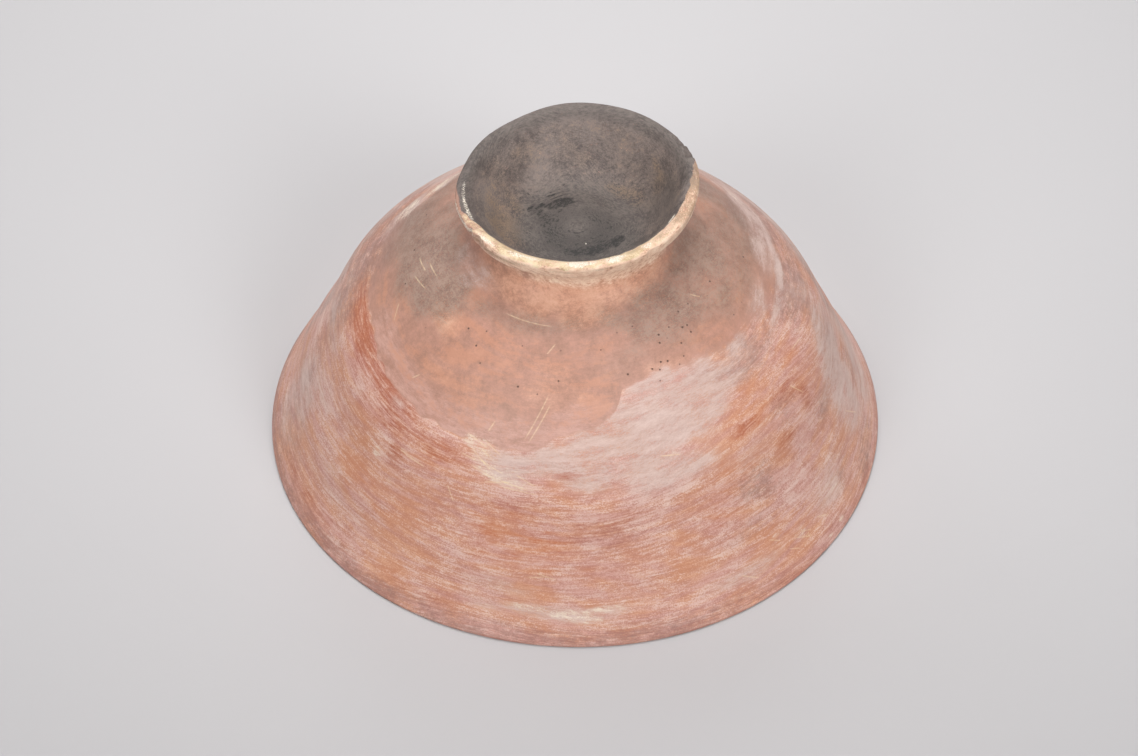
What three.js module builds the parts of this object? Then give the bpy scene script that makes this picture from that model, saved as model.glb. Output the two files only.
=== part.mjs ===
// Pedestal bowl of hand-built, red-slipped earthenware, standing upside down on its rim, foot at the top.
// It is made the way the pot is built: a pressed base, flattened wall coils with slanting joints,
// a rim coil, a foot of three coils, and soft clay wiped round the foot joint outside and inside.
// Millimetres, +Z up. The origin is the centre of the rim's resting face.
import * as THREE from "three";

// Outside of the bowl: radii, and heights above the rim's resting face
const rimRadius = 120.5;
const flareRadius = 112.6;
const flareHeight = 16;
const wallRadius = 104.6;
const wallHeight = 34;
const bellyRadius = 93.4;
const bellyHeight = 58;
const shoulderRadius = 84;
const shoulderHeight = 70;
const baseRadius = 48;
const baseHeight = 97.5;
const poleHeight = 104; // the base on the axis, inside the foot

// Wall of the bowl and its coils
const rimWall = 5;
const baseWall = 8;
const lipRound = 1;
const wallCoils = 5;
const rimCoilWidth = 17;
const baseDishRadius = 72;
const scarf = 6; // how far a coil's joint slants along the wall

// Foot
const neckRadius = 36.5;
const throatRadius = 31.4; // inside, at the collar's upper edge
const footWall = 5.8; // at the lip
const collarHeight = 8.9; // above the highest edge of its seat
const flareCoilHeight = 9.5;
const footLipHeight = 5.2;
const footLipRadius = 45.5;
const footLipUnder = 0.9; // how far the lip's lower edge lies inside its widest ring
const footLipRound = 1.4;
const footLean = THREE.MathUtils.degToRad(2.45); // its +X side is the higher one

// Clay wiped round the foot joint
const outerFilletRadius = 53;
const innerFilletRadius = 17;
const filletDrop = 0.6; // below the collar's upper edge

// Fineness of curves and facets
const turns = 48;
const pointStep = 9; // longest step along an outline
const roundSteps = 3;
const hollowSteps = 6;
const lengthSteps = 2000;
const halvings = 60;
const samePoint = 1e-6;

const redSlip = { color: 0xb5694c, roughness: 0.55, metalness: 0 };
const smokedClay = { color: 0xa87a66, roughness: 0.6, metalness: 0 };
const wornBuff = { color: 0xdcc0a0, roughness: 0.85, metalness: 0 };
const sootedClay = { color: 0x6b625c, roughness: 0.8, metalness: 0 };

const at = (radius, height) => new THREE.Vector2(radius, height);

// The bowl's outside from the rim to the axis. It runs on to its mirror image, so it crosses the axis level.
const outsideStations = [
  at(rimRadius, lipRound),
  at(flareRadius, flareHeight),
  at(wallRadius, wallHeight),
  at(bellyRadius, bellyHeight),
  at(shoulderRadius, shoulderHeight),
  at(baseRadius, baseHeight),
];
const mirroredStations = outsideStations.map((p) => at(-p.x, p.y)).reverse();
const outsideCurve = new THREE.CatmullRomCurve3(
  [...outsideStations, at(0, poleHeight), ...mirroredStations].map((p) => new THREE.Vector3(p.x, p.y, 0)),
  false,
  "centripetal",
);
outsideCurve.arcLengthDivisions = lengthSteps;
const outsideLength = outsideCurve.getLength() / 2;

// A point on the outside, s millimetres along it from the rim.
function outsideAt(s) {
  const p = outsideCurve.getPointAt(s / outsideLength / 2);
  return at(s < outsideLength ? p.x : 0, p.y);
}

// Which way the outside runs at s, towards the foot.
function outsideHeading(s) {
  const t = outsideCurve.getTangentAt(s / outsideLength / 2);
  return at(t.x, t.y);
}

// The inside opposite s: square off the outside by the wall's thickness there.
function insideAt(s) {
  const p = outsideAt(s);
  if (s >= outsideLength) return at(0, p.y - baseWall);
  const t = outsideHeading(s);
  const wall = THREE.MathUtils.lerp(rimWall, baseWall, s / outsideLength);
  return at(p.x - t.y * wall, p.y + t.x * wall);
}

// The place s where a measure that rises from the rim to the axis reaches a value.
function placeWhere(measure, value) {
  let low = 0;
  let high = outsideLength;
  for (let i = 0; i < halvings; i += 1) {
    const middle = (low + high) / 2;
    if (measure(middle) < value) low = middle;
    else high = middle;
  }
  return (low + high) / 2;
}

const placeOfRadius = (radius) => placeWhere((s) => -outsideAt(s).x, -radius);

// Points along a surface of the wall from one place to another, in steps no longer than pointStep.
function stretch(surfaceAt, from, to) {
  const steps = Math.max(1, Math.ceil(Math.abs(to - from) / pointStep));
  return Array.from({ length: steps + 1 }, (_, i) => surfaceAt(THREE.MathUtils.lerp(from, to, i / steps)));
}

// A quarter round about a centre, from one angle to another.
function quarterRound(centre, radius, fromAngle, toAngle) {
  return Array.from({ length: roundSteps + 1 }, (_, i) => {
    const angle = THREE.MathUtils.lerp(fromAngle, toAngle, i / roundSteps);
    return at(centre.x + radius * Math.cos(angle), centre.y + radius * Math.sin(angle));
  });
}

// Joints along the wall, from the rim coil's upper edge to the base dish's edge
const rimJoint = rimCoilWidth;
const baseJoint = placeOfRadius(baseDishRadius);
const coilWidth = (baseJoint - rimJoint) / wallCoils;
const wallJoints = Array.from({ length: wallCoils + 1 }, (_, i) => rimJoint + i * coilWidth);

// The foot's inside is one cone, from the lip's inner round down to the base
const coneRise = flareCoilHeight + footLipHeight - footLipRound;
const coneSlope = (footLipRadius - footWall - throatRadius) / coneRise; // radius gained for each millimetre up
const collarInside = throatRadius - coneSlope * collarHeight;

// Places on the base where the foot collar and the clay round it stand
const outerFilletPlace = placeOfRadius(outerFilletRadius);
const collarOuterPlace = placeOfRadius(neckRadius);
const collarInnerPlace = placeOfRadius(collarInside);
const innerFilletPlace = placeOfRadius(innerFilletRadius);

// Heights of the foot's joints
const seatHeight = Math.max(outsideAt(collarOuterPlace).y, outsideAt(collarInnerPlace).y);
const collarTop = seatHeight + collarHeight;
const filletTop = collarTop - filletDrop;
const lipFoot = collarTop + flareCoilHeight;
const footTop = lipFoot + footLipHeight;
const lipEdge = footLipRadius - footLipUnder;
const onCone = (height) => at(throatRadius + coneSlope * (height - collarTop), height);

// The foot is askew: above its collar it is lifted in proportion to x, fully from the lip up.
function leanWithFoot(geometry) {
  const p = geometry.getAttribute("position");
  for (let i = 0; i < p.count; i += 1) {
    const share = THREE.MathUtils.smoothstep(p.getZ(i), collarTop, lipFoot);
    p.setZ(i, p.getZ(i) + Math.tan(footLean) * share * p.getX(i));
  }
}

// A piece turned from its section. The section runs up its outer side, and closes on itself or on the axis.
function turnedPiece(name, section, finish) {
  const apart = section.filter((p, i) => p.distanceTo(section.at(i - 1)) > samePoint);
  const outline = apart[0].x === 0 ? apart : [...apart, apart[0].clone()];
  const geometry = new THREE.LatheGeometry(outline, turns).rotateX(Math.PI / 2);
  leanWithFoot(geometry);
  geometry.computeVertexNormals();
  const mesh = new THREE.Mesh(geometry, new THREE.MeshStandardMaterial(finish));
  mesh.name = name;
  return mesh;
}

// The rim coil: its lip is flat where it rests, and rounded on both edges.
function rimCoil() {
  const insideStart = placeWhere((s) => insideAt(s).y, lipRound);
  const lipInside = insideAt(insideStart).x;
  return turnedPiece(
    "rim_coil",
    [
      ...quarterRound(at(lipInside + lipRound, lipRound), lipRound, Math.PI, Math.PI * 1.5),
      ...quarterRound(at(rimRadius - lipRound, lipRound), lipRound, -Math.PI / 2, 0),
      ...stretch(outsideAt, 0, rimJoint),
      ...stretch(insideAt, rimJoint + scarf, insideStart),
    ],
    redSlip,
  );
}

// Wall coils, numbered from the base to the rim.
function wallCoilPieces() {
  return wallJoints.slice(0, -1).map((lower, i) => {
    const upper = wallJoints[i + 1];
    return turnedPiece(
      `wall_coil_${wallCoils - i}`,
      [...stretch(outsideAt, lower, upper), ...stretch(insideAt, upper + scarf, lower + scarf)],
      redSlip,
    );
  });
}

// The pressed base: bowl's bottom on one side, floor of the foot's hollow on the other.
function baseDish() {
  return turnedPiece(
    "base_dish",
    [
      ...stretch(insideAt, outsideLength, baseJoint + scarf),
      ...stretch(outsideAt, baseJoint, outerFilletPlace),
      ...stretch(outsideAt, outerFilletPlace, collarOuterPlace),
      ...stretch(outsideAt, collarOuterPlace, collarInnerPlace),
      ...stretch(outsideAt, collarInnerPlace, innerFilletPlace),
      ...stretch(outsideAt, innerFilletPlace, outsideLength),
    ],
    smokedClay,
  );
}

// A hollow round that leaves the base along its slope at a place and ends along a face of the collar, whose
// radius grows by faceSlope for each millimetre up.
function hollowRound(place, end, faceSlope) {
  const start = outsideAt(place);
  const heading = outsideHeading(place);
  const offFace = end.x - start.x + faceSlope * (start.y - end.y);
  const corner = heading.multiplyScalar(offFace / (heading.x - faceSlope * heading.y)).add(start);
  return new THREE.QuadraticBezierCurve(start, corner, end).getPoints(hollowSteps);
}

function outerLutingFillet() {
  const hollow = hollowRound(outerFilletPlace, at(neckRadius, filletTop), 0);
  const seat = stretch(outsideAt, collarOuterPlace, outerFilletPlace);
  return turnedPiece("outer_luting_fillet", [...hollow, ...seat], smokedClay);
}

function innerLutingFillet() {
  const hollow = hollowRound(innerFilletPlace, onCone(filletTop), coneSlope);
  const seat = stretch(outsideAt, innerFilletPlace, collarInnerPlace);
  return turnedPiece("inner_luting_fillet", [...seat, ...hollow.reverse()], sootedClay);
}

function footCollar() {
  return turnedPiece(
    "foot_collar",
    [
      ...stretch(outsideAt, collarInnerPlace, collarOuterPlace),
      at(neckRadius, filletTop),
      at(neckRadius, collarTop),
      onCone(collarTop),
      onCone(filletTop),
    ],
    sootedClay,
  );
}

// The flare opens from upright at the collar to the lip's lower edge; inside it goes on as the cone.
function footFlare() {
  const outer = new THREE.QuadraticBezierCurve(
    at(neckRadius, collarTop),
    at(neckRadius, collarTop + flareCoilHeight / 2),
    at(lipEdge, lipFoot),
  ).getPoints(hollowSteps);
  return turnedPiece("foot_flare", [...outer, onCone(lipFoot), onCone(collarTop)], sootedClay);
}

// The foot's lip: a little proud of the flare below it, with a flat worn top.
function footLip() {
  const roundHeight = footTop - footLipRound;
  const outerRound = at(footLipRadius - footLipRound, roundHeight);
  const innerRound = at(footLipRadius - footWall + footLipRound, roundHeight);
  return turnedPiece(
    "foot_lip",
    [
      onCone(lipFoot),
      at(lipEdge, lipFoot),
      ...quarterRound(outerRound, footLipRound, 0, Math.PI / 2),
      ...quarterRound(innerRound, footLipRound, Math.PI / 2, Math.PI),
    ],
    wornBuff,
  );
}

const pedestalBowl = new THREE.Group();
pedestalBowl.name = "pedestal_bowl";
pedestalBowl.add(
  rimCoil(),
  ...wallCoilPieces(),
  baseDish(),
  outerLutingFillet(),
  innerLutingFillet(),
  footCollar(),
  footFlare(),
  footLip(),
);

export default pedestalBowl;
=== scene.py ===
import bpy
import numpy as np
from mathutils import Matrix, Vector


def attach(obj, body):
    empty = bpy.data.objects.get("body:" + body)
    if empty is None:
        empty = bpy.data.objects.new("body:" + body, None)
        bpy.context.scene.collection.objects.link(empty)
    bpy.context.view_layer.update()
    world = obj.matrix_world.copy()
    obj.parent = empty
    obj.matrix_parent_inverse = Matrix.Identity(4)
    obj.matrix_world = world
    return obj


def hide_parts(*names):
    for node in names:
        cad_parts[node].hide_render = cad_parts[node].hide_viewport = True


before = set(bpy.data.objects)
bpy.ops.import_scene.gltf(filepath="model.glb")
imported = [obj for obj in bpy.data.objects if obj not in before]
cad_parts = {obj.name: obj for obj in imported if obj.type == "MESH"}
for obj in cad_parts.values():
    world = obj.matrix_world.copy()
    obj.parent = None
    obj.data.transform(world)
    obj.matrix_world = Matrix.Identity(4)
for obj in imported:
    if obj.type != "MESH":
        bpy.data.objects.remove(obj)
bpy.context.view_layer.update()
print("frame loaded with", len(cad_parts), "nodes")

mm = 0.001
ringSteps = 720  # points round every ring, 1.05 mm apart at the rim

# The bowl, upside down on its rim. Millimetres, the same sizes as the solid model.
bowl = {
    "stations": [(120.5, 1), (112.6, 16), (104.6, 34), (93.4, 58), (84, 70), (48, 97.5)],  # radius, height
    "poleHeight": 104,  # the base on the axis, inside the foot
    "rimWall": 5,
    "baseWall": 8,
    "lipRound": 1,
    "rimCoilWidth": 17,
    "wallCoils": 5,
    "baseDishRadius": 72,
    "scarf": 6,  # how far a coil's joint slants along the wall
    "rowStep": 0.9,  # between rings of points outside
    "insideStep": 1.8,
    "rimSpan": (-11.5, 4),  # finer rows round the rim, between these places along the skin
    "rimStep": 0.35,
    "rimGap": 0.5,  # from there to the next rows
}

# The foot: a collar, a flare and a lip, with clay wiped round the joint outside and inside
foot = {
    "neckRadius": 36.5,
    "throatRadius": 31.4,  # inside, at the collar's upper edge
    "wall": 5.8,  # at the lip
    "collarHeight": 8.9,
    "flareHeight": 9.5,
    "lipHeight": 5.2,
    "lipRadius": 45.5,
    "lipUnder": 0.9,
    "lipRound": 1.4,
    "lipInnerWear": (2.3, 4.2),  # how far in from the outer edge and down the inside the lip is worn round
    "outerFilletRadius": 53,
    "innerFilletRadius": 17,
    "filletDrop": 0.6,
    "seatDepth": 1.2,  # the hidden joint under the foot lies this far below the base's skin
    "lean": 2.45,  # degrees, the +X side is the higher one
    "rowStep": 0.5,
    "lipStep": 0.4,
    "seatStep": 2,
    "seatInset": 1,  # the hidden joint ends this far inside the edges of the wiped clay
    "faceInset": 1.2,  # hidden upright faces lie this far inside the skin
}


def splineThrough(points, perSpan=80):
    # A cubic between each two points, with end slopes from the points on both sides and knots spaced by the
    # square root of the distances (centripetal Catmull-Rom), as in the solid model.
    p = np.array(points, float)
    p = np.vstack([2 * p[0] - p[1], p, 2 * p[-1] - p[-2]])
    gap = np.sqrt(np.linalg.norm(np.diff(p, axis=0), axis=1))
    t = np.linspace(0, 1, perSpan, endpoint=False)[:, None]
    spans = []
    for i in range(1, len(p) - 2):
        before, here, after = gap[i - 1:i + 2]
        step = p[i + 1] - p[i]
        leave = (p[i] - p[i - 1]) / before - (p[i + 1] - p[i - 1]) / (before + here) + step / here
        reach = step / here - (p[i + 2] - p[i]) / (here + after) + (p[i + 2] - p[i + 1]) / after
        leave, reach = leave * here, reach * here
        square, cube = 3 * step - 2 * leave - reach, leave + reach - 2 * step
        spans.append(p[i] + leave * t + square * t**2 + cube * t**3)
    return np.vstack([*spans, p[-2]])


def hollowCurve(start, corner, end, steps=40):
    # The quadratic curve that leaves start towards corner and reaches end from corner.
    t = np.linspace(0, 1, steps)[:, None]
    return (1 - t)**2 * np.array(start) + 2 * t * (1 - t) * np.array(corner) + t**2 * np.array(end)


def arcAbout(centre, radius, fromDegrees, toDegrees, steps=12):
    # Points on a circle's arc.
    a = np.radians(np.linspace(fromDegrees, toDegrees, steps))
    return np.array(centre) + radius * np.stack([np.cos(a), np.sin(a)], axis=1)


def runOf(path):
    # The distance along a path to each of its points.
    return np.r_[0, np.cumsum(np.linalg.norm(np.diff(path, axis=0), axis=1))]


def smoothStep(x, low, high):
    # Rises from 0 at low to 1 at high, level at both ends.
    u = np.clip((x - low) / (high - low), 0, 1)
    return u * u * (3 - 2 * u)


# The bowl's outside from the rim to the axis, mirrored so that it crosses the axis level
pole = (0, bowl["poleHeight"])
mirrored = [(-r, z) for r, z in reversed(bowl["stations"])]
outside = splineThrough([*bowl["stations"], pole, *mirrored])
outside = outside[:len(outside) // 2 + 1]
outsideRun = runOf(outside)
heading = np.gradient(outside, axis=0)
heading /= np.linalg.norm(heading, axis=1)[:, None]

# The inside: square off the outside by the wall, which thickens from the rim to the base
wall = bowl["rimWall"] + (bowl["baseWall"] - bowl["rimWall"]) * outsideRun / outsideRun[-1]
inside = outside + wall[:, None] * np.stack([-heading[:, 1], heading[:, 0]], axis=1)
inside[-1, 0] = 0


def outsideAt(run):
    # The outside's point and the inside's point opposite it, at this distance from the rim.
    return [np.array([np.interp(run, outsideRun, c[:, k]) for k in (0, 1)]) for c in (outside, inside)]


def runAtRadius(radius):
    # How far from the rim the outside has this radius.
    return np.interp(-radius, -outside[:, 0], outsideRun)


# Joints along the wall, from the rim coil's upper edge to the base dish's edge
wallJoints = np.linspace(bowl["rimCoilWidth"], runAtRadius(bowl["baseDishRadius"]), bowl["wallCoils"] + 1)

# Heights of the foot's joints. Its inside is one cone from the lip's inner round down to the base.
coneRise = foot["flareHeight"] + foot["lipHeight"] - foot["lipRound"]
coneSlope = (foot["lipRadius"] - foot["wall"] - foot["throatRadius"]) / coneRise
collarInside = foot["throatRadius"] - coneSlope * foot["collarHeight"]
seatHeight = max(outsideAt(runAtRadius(r))[0][1] for r in (foot["neckRadius"], collarInside))
collarTop = seatHeight + foot["collarHeight"]
filletTop = collarTop - foot["filletDrop"]
lipFoot = collarTop + foot["flareHeight"]
footTop = lipFoot + foot["lipHeight"]


def onCone(height):
    # The foot's inside at a height.
    return foot["throatRadius"] + coneSlope * (height - collarTop), height


def wipedHollow(radius, end, faceSlope, step=0.5):
    # The wiped clay's hollow: it leaves the base at a radius along the slope there, taken over a short step,
    # and reaches the collar's face along that face.
    run = runAtRadius(radius)
    start = outsideAt(run)[0]
    slope = outsideAt(run + step)[0] - start
    offFace = end[0] - start[0] + faceSlope * (start[1] - end[1])
    corner = start + slope * offFace / (slope[0] - faceSlope * slope[1])
    return hollowCurve(start, corner, end)


def wholeSection():
    # Radius and height from the axis inside the bowl, round the rim, up the outside, over the foot and down
    # to the axis inside the foot. Hands and wear have rounded every edge, so a short running mean is taken.
    lip = bowl["lipRound"]
    insideRows = inside[inside[:, 1] > lip][::-1]
    lipInner = insideRows[-1, 0]
    lipRadius, lipRound = foot["lipRadius"], foot["lipRound"]
    roundHeight = footTop - lipRound
    edge = lipRadius - foot["lipUnder"]
    bend = (foot["neckRadius"], collarTop + foot["flareHeight"] / 2)
    flare = hollowCurve((foot["neckRadius"], collarTop), bend, (edge, lipFoot))
    path = np.vstack([
        insideRows,
        arcAbout((lipInner + lip, lip), lip, 180, 270),
        arcAbout((bowl["stations"][0][0] - lip, lip), lip, -90, 0),
        outside[outside[:, 0] > foot["outerFilletRadius"]],
        wipedHollow(foot["outerFilletRadius"], (foot["neckRadius"], filletTop), 0),
        flare,
        arcAbout((lipRadius - lipRound, roundHeight), lipRound, 0, 90),
        hollowCurve((lipRadius - foot["lipInnerWear"][0], footTop), onCone(footTop),
                    onCone(footTop - foot["lipInnerWear"][1])),
        wipedHollow(foot["innerFilletRadius"], onCone(filletTop), coneSlope)[::-1],
        outside[outside[:, 0] < foot["innerFilletRadius"]],
    ])
    run = runOf(path)
    apart, spread = 0.1, 10  # mm between points, and how many of them the mean takes in on each side
    places = np.arange(0, run[-1], apart)
    even = np.stack([np.interp(places, run, path[:, k]) for k in (0, 1)], axis=1)
    window = np.hanning(2 * spread + 1)
    padded = np.pad(even, ((spread, spread), (0, 0)), mode="reflect", reflect_type="odd")
    even = np.stack([np.convolve(padded[:, k], window / window.sum(), "valid") for k in (0, 1)], axis=1)
    even[[0, -1], 0] = 0
    return even


section = wholeSection()
sectionRun = runOf(section)
lipStart = np.argmin(np.linalg.norm(section - bowl["stations"][0], axis=1))
along = sectionRun - sectionRun[lipStart]  # 0 at the rim's outer edge, rising to the foot, negative inside
print("section:", len(section), "points,", round(sectionRun[-1]), "mm long")


def alongNear(point):
    # Where the skin passes closest to a point of the section.
    return along[np.argmin(np.linalg.norm(section - point, axis=1))]


def sectionAt(places):
    # Radius and height at these places along the skin.
    return np.interp(places, along, section[:, 0]), np.interp(places, along, section[:, 1])


# Places of the joints on the skin
outerJoints = [alongNear(outsideAt(run)[0]) for run in wallJoints]
innerJoints = [alongNear(outsideAt(run + bowl["scarf"])[1]) for run in wallJoints]
outerEdge, innerEdge = foot["outerFilletRadius"], foot["innerFilletRadius"]
outerFillet = alongNear((outerEdge, outsideAt(runAtRadius(outerEdge))[0][1]))
innerFillet = alongNear((innerEdge, outsideAt(runAtRadius(innerEdge))[0][1]))
neckLow = alongNear((foot["neckRadius"], filletTop))
neckHigh = alongNear((foot["neckRadius"], collarTop))
lipLow = alongNear((foot["lipRadius"] - foot["lipUnder"], lipFoot))
lipHigh = alongNear(onCone(lipFoot))
throatHigh = alongNear(onCone(collarTop))
throatLow = alongNear(onCone(filletTop))

# What makes the pot hand-made: millimetres, and degrees round the pot from +X, -90 at the front. In a pair of
# limits the thing is nothing at the first and full at the second.
handMade = {
    "rimRounds": {2: (0.7, 200), 3: (0.45, 60), 5: (0.15, 10)},  # lobes: height and angle of the first
    "rimRoundsEnd": 75,  # the height where they have died away
    "footRounds": {2: (0.35, 40), 3: (0.25, 100), 4: (0.15, 0)},
    "shift": 0.45,  # the upper wall stands this much towards +X
    "shiftHeights": (25, 60),
    "unevenness": 0.22,
    "unevenRadii": (2, 20),  # none on the axis
    "unevenHeights": (1, 6),  # and none on the resting face
    "lipWave": 0.3,
    "lipBlend": 2,  # the foot lip's waves begin this far below it
    "lipDip": (140, 55, 1.1),  # angle, half width and depth of the foot lip's worn-down side
    "lipChips": [(20, 5, 1.3), (29, 5, 1.6), (38, 6, 1.1), (60, 3, 0.4), (108, 5, 0.6), (131, 6, 0.9),
                 (152, 5, 0.7)],  # angle, half width in degrees and depth
    "lipBites": [(-146, 8, 1.3), (-160, 4, 0.6), (-52, 4, 0.4), (-100, 5, 0.4)],
    "rimChips": [(-38, 1.1, 0.9), (-55, 0.8, 0.7), (-72, 1.3, 0.5), (-128, 1.0, 0.5), (75, 1.6, 0.9),
                 (140, 1.2, 0.7), (20, 1.0, 0.6)],
    "rimChipZone": (4, 100),  # they cut what is below this height and beyond this radius
    "chipRagged": 0.18,
    "chipFlank": 0.35,  # the share of a chip's half width that slopes
    "chipSlant": 0.55,  # the foot lip's chips slant up from its outer edge
}
# Sets of waves: the seed of their dice, how many, most turns round the pot and least length along the skin
waveSets = {
    "wall": (11, 40, 9, 28),
    "lip": (12, 10, 7, 1),
    "chips": (5, 12, 90, 1),
    "patches": (3, 40, 24, 12),
    "zoneEdge": (41, 14, 70, 1),
    "soot": (31, 40, 60, 6),
    "grain": (21, 14, 7, 45),
    "brush": (22, 12, 6, 40),
}


def waves(angle, place, name):
    # The sum of sine waves of random direction and phase, about 1 high. It closes on itself round the pot.
    seed, count, turns, length = waveSets[name]
    dice = np.random.default_rng(seed)
    total = np.zeros(np.broadcast(angle, place).shape)
    for _ in range(count):
        around = dice.integers(-turns, turns + 1)
        upward = dice.uniform(-1, 1) * 2 * np.pi / length
        total += np.cos(around * angle + upward * place + dice.uniform(0, 2 * np.pi))
    return total / np.sqrt(count / 2)


def lobes(angle, rounds):
    # A ring's departure from round: one cosine for each number of lobes.
    return sum(h * np.cos(k * (angle - np.radians(a))) for k, (h, a) in rounds.items())


def turned(angle, degrees):
    # Degrees round the pot from a given angle, -180 to 180.
    return (np.degrees(angle) - degrees + 180) % 360 - 180


def bites(angle, chips):
    # How much is broken away at each angle: steep-sided, with a flat ragged bottom.
    ragged = 1 + handMade["chipRagged"] * waves(angle, 0, "chips")
    flank = handMade["chipFlank"]
    cuts = [d * smoothStep(w - np.abs(turned(angle, a)), 0, flank * w) for a, w, d in chips]
    return np.max(cuts, axis=0) * ragged


def skin(angle, place, radius, height):
    # The pot's surface: a point at an angle on the section, moved as the potter and wear left it.
    h = handMade
    isFoot = smoothStep(height, collarTop, lipFoot)
    isRim = 1 - smoothStep(height, 0, h["rimRoundsEnd"])
    radius = radius + isRim * lobes(angle, h["rimRounds"]) + isFoot * lobes(angle, h["footRounds"])
    uneven = h["unevenness"] * waves(angle, place, "wall")
    radius = radius + uneven * smoothStep(radius, *h["unevenRadii"]) * smoothStep(height, *h["unevenHeights"])
    lipShare = smoothStep(height, lipFoot - h["lipBlend"], footTop)
    dipAngle, dipWidth, dipDepth = h["lipDip"]
    dip = dipDepth * np.exp(-(turned(angle, dipAngle) / dipWidth)**2)
    height = height + lipShare * (h["lipWave"] * waves(angle, 0, "lip") - dip)
    inward = np.maximum(foot["lipRadius"] - radius, 0)
    chipped = footTop - bites(angle, h["lipChips"]) + h["chipSlant"] * inward
    height = np.where(lipShare > 0, np.minimum(height, np.maximum(chipped, lipFoot)), height)
    widest = foot["lipRadius"] + lobes(angle, h["footRounds"]) - bites(angle, h["lipBites"])
    radius = np.where(lipShare > 0, np.minimum(radius, widest), radius)
    chipHeight, chipRadius = h["rimChipZone"]
    isLip = (height < chipHeight) & (radius > chipRadius)
    height = np.where(isLip, np.maximum(height, bites(angle, h["rimChips"])), height)
    x = radius * np.cos(angle) + h["shift"] * smoothStep(height, *h["shiftHeights"])
    y = radius * np.sin(angle)
    return np.stack([x, y, height + np.tan(np.radians(foot["lean"])) * isFoot * x], axis=-1)


def rowsBetween(first, last, step):
    # Evenly spaced places along the skin, both ends among them.
    return np.linspace(first, last, max(2, int(np.ceil(abs(last - first) / step)) + 1))


def seatRows(fromRadius, toRadius):
    # Hidden rows on the base under the foot: radius, height, and a place that no mark reaches.
    runs = rowsBetween(runAtRadius(fromRadius), runAtRadius(toRadius), foot["seatStep"])
    r, z = np.array([outsideAt(run)[0] for run in runs]).T
    return r, z - foot["seatDepth"], np.full(len(r), along[0])


ringAngles = np.linspace(-np.pi, np.pi, ringSteps, endpoint=False)


def skinRows(first, last, step):
    # Rows of the visible skin between two places: radius, height and place.
    places = rowsBetween(first, last, step)
    return (*sectionAt(places), places)


lipPlace = 163  # the foot lip's crest at the front

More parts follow.
